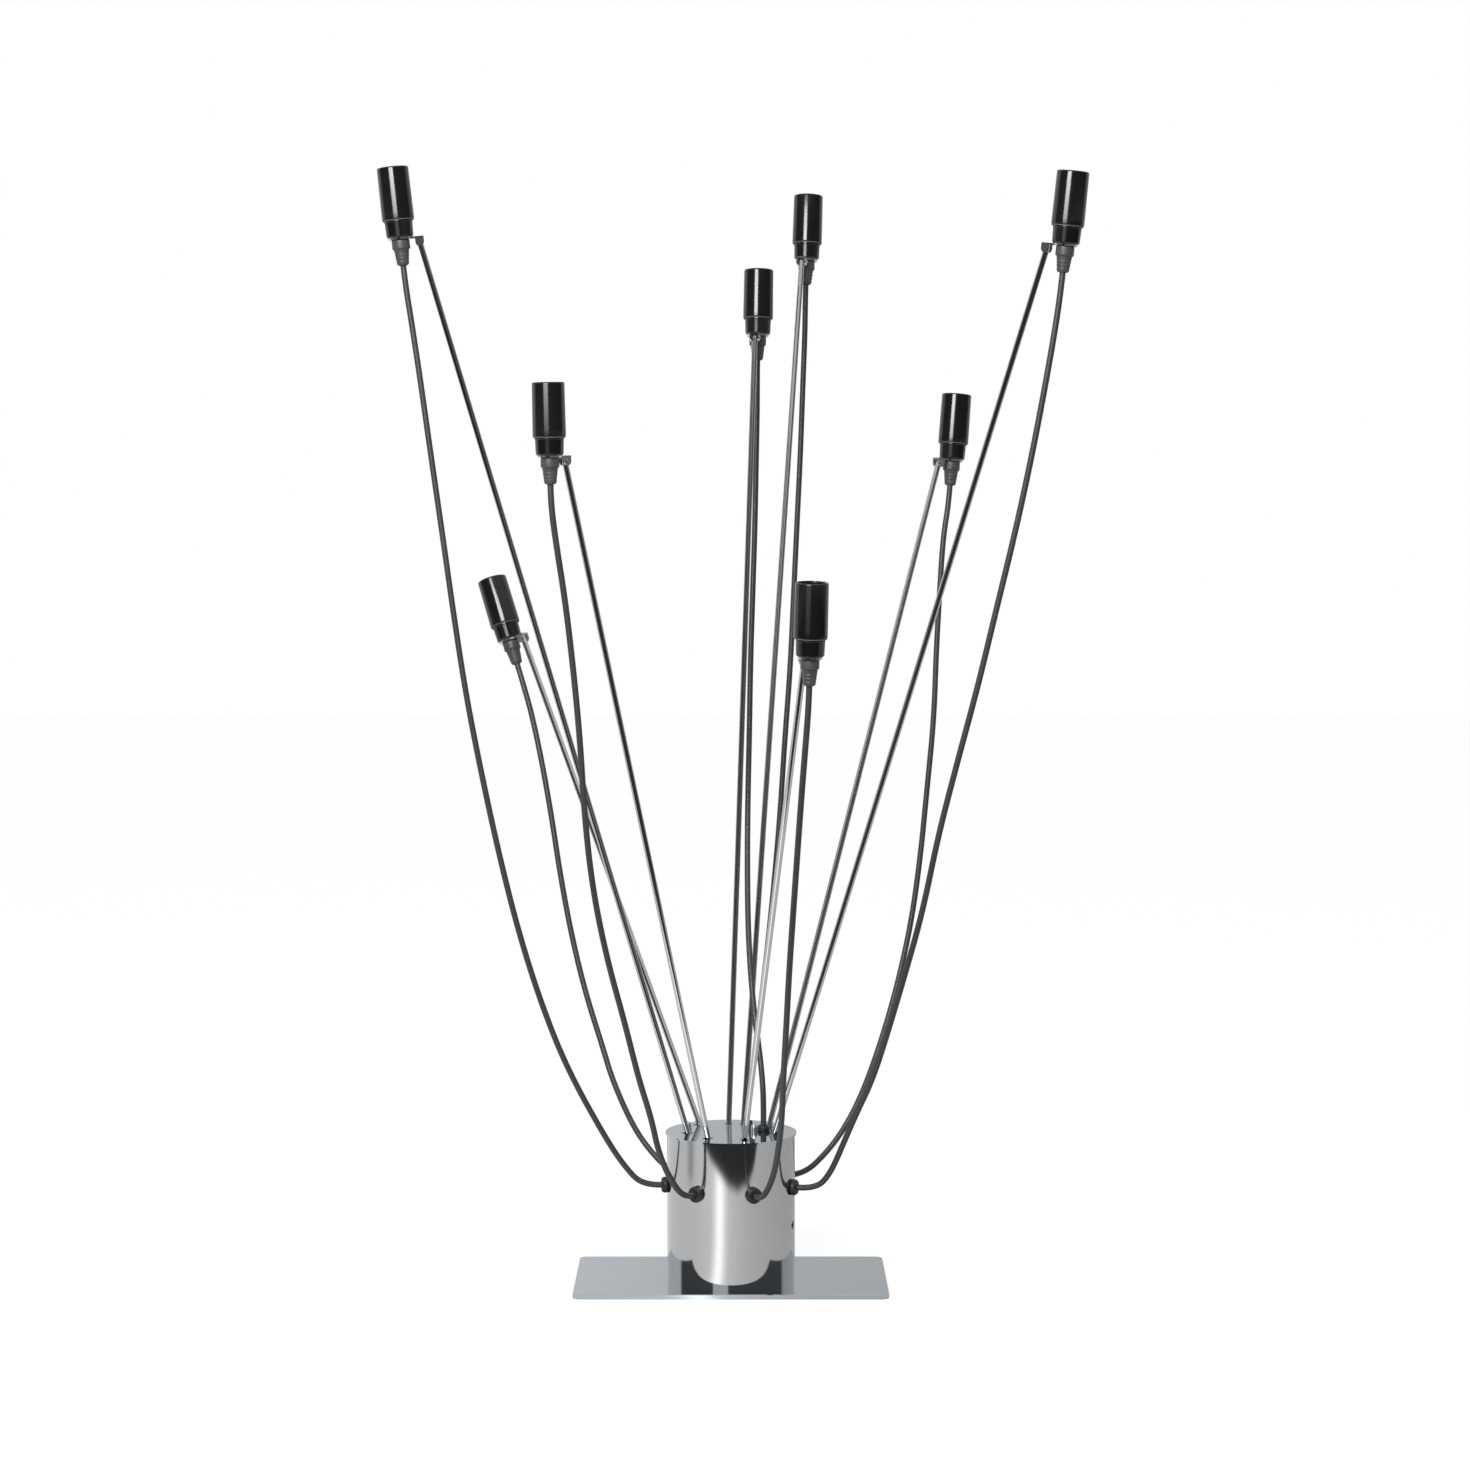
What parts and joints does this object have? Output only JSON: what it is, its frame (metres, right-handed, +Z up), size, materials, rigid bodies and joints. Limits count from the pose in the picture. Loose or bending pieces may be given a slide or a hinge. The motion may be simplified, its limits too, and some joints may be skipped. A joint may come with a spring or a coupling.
{
  "type": "electric candelabra lamp",
  "caption": "Floor or table candelabra: a chromed drum on a flat plate, thin chromed rods fanning out of it, each with a black screw lampholder and a dark cord running down into the drum.",
  "frame": {"origin": "centre of the base plate's underside, on the drum's axis", "axes": "+Z up along the drum's axis, -Y towards the front as pictured, +X to the right along the plate's long side"},
  "size_m": [0.5739, 0.4808, 0.9326],
  "materials": {
    "plate_chrome": "polished",
    "drum_chrome": "polished",
    "rod_chrome": "polished",
    "bracket_steel": "satin",
    "inner_steel": "satin",
    "nut_steel": "polished",
    "dark_screw": "satin",
    "holder_plastic": "semi-gloss",
    "relief_plastic": "satin",
    "cord_plastic": "satin",
    "black_rubber": "matte",
    "pale_plastic": "matte"
  },
  "bodies": {
    "base": {"base_plate": "plate_chrome", "drum": "drum_chrome", "drum_screws": "dark_screw", "top_disc": "plate_chrome", "disc_nuts": "nut_steel", "carrier_plate": "inner_steel", "pivot_forks": "inner_steel", "pivot_pins": "inner_steel", "cord_bushings": "black_rubber", "inlet_grommet": "black_rubber", "terminal_block": "pale_plastic", "inner_leads": "cord_plastic"},
    "arm_1": {"rod_1": "rod_chrome", "cord_1": "cord_plastic"},
    "holder_1": {"bracket_1": "bracket_steel", "holder_shell_1": "holder_plastic", "holder_base_1": "holder_plastic", "strain_relief_1": "relief_plastic"},
    "arm_2": {"rod_2": "rod_chrome", "cord_2": "cord_plastic"},
    "holder_2": {"bracket_2": "bracket_steel", "holder_shell_2": "holder_plastic", "holder_base_2": "holder_plastic", "strain_relief_2": "relief_plastic"},
    "arm_3": {"rod_3": "rod_chrome", "cord_3": "cord_plastic"},
    "holder_3": {"bracket_3": "bracket_steel", "holder_shell_3": "holder_plastic", "holder_base_3": "holder_plastic", "strain_relief_3": "relief_plastic"},
    "arm_4": {"rod_4": "rod_chrome", "cord_4": "cord_plastic"},
    "holder_4": {"bracket_4": "bracket_steel", "holder_shell_4": "holder_plastic", "holder_base_4": "holder_plastic", "strain_relief_4": "relief_plastic"},
    "arm_5": {"rod_5": "rod_chrome", "cord_5": "cord_plastic"},
    "holder_5": {"bracket_5": "bracket_steel", "holder_shell_5": "holder_plastic", "holder_base_5": "holder_plastic", "strain_relief_5": "relief_plastic"},
    "arm_6": {"rod_6": "rod_chrome", "cord_6": "cord_plastic"},
    "holder_6": {"bracket_6": "bracket_steel", "holder_shell_6": "holder_plastic", "holder_base_6": "holder_plastic", "strain_relief_6": "relief_plastic"},
    "arm_7": {"rod_7": "rod_chrome", "cord_7": "cord_plastic"},
    "holder_7": {"bracket_7": "bracket_steel", "holder_shell_7": "holder_plastic", "holder_base_7": "holder_plastic", "strain_relief_7": "relief_plastic"},
    "arm_8": {"rod_8": "rod_chrome", "cord_8": "cord_plastic"},
    "holder_8": {"bracket_8": "bracket_steel", "holder_shell_8": "holder_plastic", "holder_base_8": "holder_plastic", "strain_relief_8": "relief_plastic"}
  },
  "joints": [
    {"name": "arm_1_swing", "type": "hinge", "parent": "base", "child": "arm_1", "pos_m": [-0.03277, -0.00696, 0.1148], "axis": [0.1045, -0.9945, 0], "range_deg": [-8, 8], "deforming": ["cord_1"]},
    {"name": "holder_1_tilt", "type": "hinge", "parent": "arm_1", "child": "holder_1", "pos_m": [-0.25506, -0.03033, 0.86939], "axis": [0.1045, -0.9945, 0], "range_deg": [-15, 15], "deforming": ["cord_1"]},
    {"name": "arm_2_swing", "type": "hinge", "parent": "base", "child": "arm_2", "pos_m": [0.00979, 0.03204, 0.1148], "axis": [-0.9563, 0.2924, 0], "range_deg": [-8, 8], "deforming": ["cord_2"]},
    {"name": "holder_2_tilt", "type": "hinge", "parent": "arm_2", "child": "holder_2", "pos_m": [0.0629, 0.20572, 0.8713], "axis": [-0.9563, 0.2924, 0], "range_deg": [-15, 15], "deforming": ["cord_2"]},
    {"name": "arm_3_swing", "type": "hinge", "parent": "base", "child": "arm_3", "pos_m": [-0.00234, 0.03342, 0.1148], "axis": [-0.9848, 0.1736, 0], "range_deg": [-8, 8], "deforming": ["cord_3"]},
    {"name": "holder_3_tilt", "type": "hinge", "parent": "arm_3", "child": "holder_3", "pos_m": [0.02086, 0.16496, 0.80194], "axis": [-0.9848, 0.1736, 0], "range_deg": [-15, 15], "deforming": ["cord_3"]},
    {"name": "arm_4_swing", "type": "hinge", "parent": "base", "child": "arm_4", "pos_m": [0.03299, -0.00582, 0.1148], "axis": [0.4226, 0.9063, 0], "range_deg": [-8, 8], "deforming": ["cord_4"]},
    {"name": "holder_4_tilt", "type": "hinge", "parent": "arm_4", "child": "holder_4", "pos_m": [0.25172, -0.10781, 0.85758], "axis": [0.4226, 0.9063, 0], "range_deg": [-15, 15], "deforming": ["cord_4"]},
    {"name": "arm_5_swing", "type": "hinge", "parent": "base", "child": "arm_5", "pos_m": [-0.01675, -0.02901, 0.1148], "axis": [0.6947, -0.7193, 0], "range_deg": [-8, 8], "deforming": ["cord_5"]},
    {"name": "holder_5_tilt", "type": "hinge", "parent": "arm_5", "child": "holder_5", "pos_m": [-0.13113, -0.13947, 0.68816], "axis": [0.6947, -0.7193, 0], "range_deg": [-15, 15], "deforming": ["cord_5"]},
    {"name": "arm_6_swing", "type": "hinge", "parent": "base", "child": "arm_6", "pos_m": [0.02901, 0.01675, 0.1148], "axis": [-0.6293, 0.7771, 0], "range_deg": [-8, 8], "deforming": ["cord_6"]},
    {"name": "holder_6_tilt", "type": "hinge", "parent": "arm_6", "child": "holder_6", "pos_m": [0.18153, 0.14026, 0.69131], "axis": [-0.6293, 0.7771, 0], "range_deg": [-15, 15], "deforming": ["cord_6"]},
    {"name": "arm_7_swing", "type": "hinge", "parent": "base", "child": "arm_7", "pos_m": [-0.02198, 0.02528, 0.1148], "axis": [-0.6225, -0.7826, 0], "range_deg": [-8, 8], "deforming": ["cord_7"]},
    {"name": "holder_7_tilt", "type": "hinge", "parent": "arm_7", "child": "holder_7", "pos_m": [-0.18322, 0.15354, 0.53723], "axis": [-0.6225, -0.7826, 0], "range_deg": [-15, 15], "deforming": ["cord_7"]},
    {"name": "arm_8_swing", "type": "hinge", "parent": "base", "child": "arm_8", "pos_m": [0.00979, -0.03204, 0.1148], "axis": [0.9659, 0.2588, 0], "range_deg": [-8, 8], "deforming": ["cord_8"]},
    {"name": "holder_8_tilt", "type": "hinge", "parent": "arm_8", "child": "holder_8", "pos_m": [0.05696, -0.20806, 0.5339], "axis": [0.9659, 0.2588, 0], "range_deg": [-15, 15], "deforming": ["cord_8"]}
  ]
}
